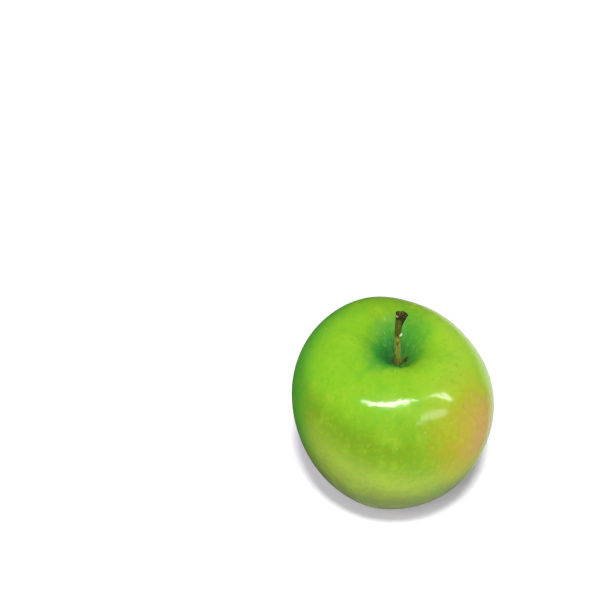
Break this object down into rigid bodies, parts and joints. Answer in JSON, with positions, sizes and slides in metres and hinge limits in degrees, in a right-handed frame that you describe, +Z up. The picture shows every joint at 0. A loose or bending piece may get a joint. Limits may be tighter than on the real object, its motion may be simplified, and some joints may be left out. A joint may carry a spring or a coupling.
{
  "type": "green apple",
  "caption": "Whole green apple with a woody stem in a funnel-shaped cavity and a dried calyx in the basin under it, standing on its base lobes.",
  "frame": {"origin": "on the surface that the apple stands on, under the middle of the fruit's outline", "axes": "+Z up along the core to the stem, -Y the front, +X the blushed side"},
  "size_m": [0.0744, 0.0754, 0.0842],
  "materials": {
    "apple_skin": "waxy, satin to gloss, yellow-green with a faint blush",
    "stem_bark": "matt, ridged, darker towards the cut end",
    "dried_calyx": "matt, dry and papery"
  },
  "bodies": {
    "root": {"fruit": "apple_skin", "stem": "stem_bark", "calyx": "dried_calyx"}
  },
  "joints": []
}
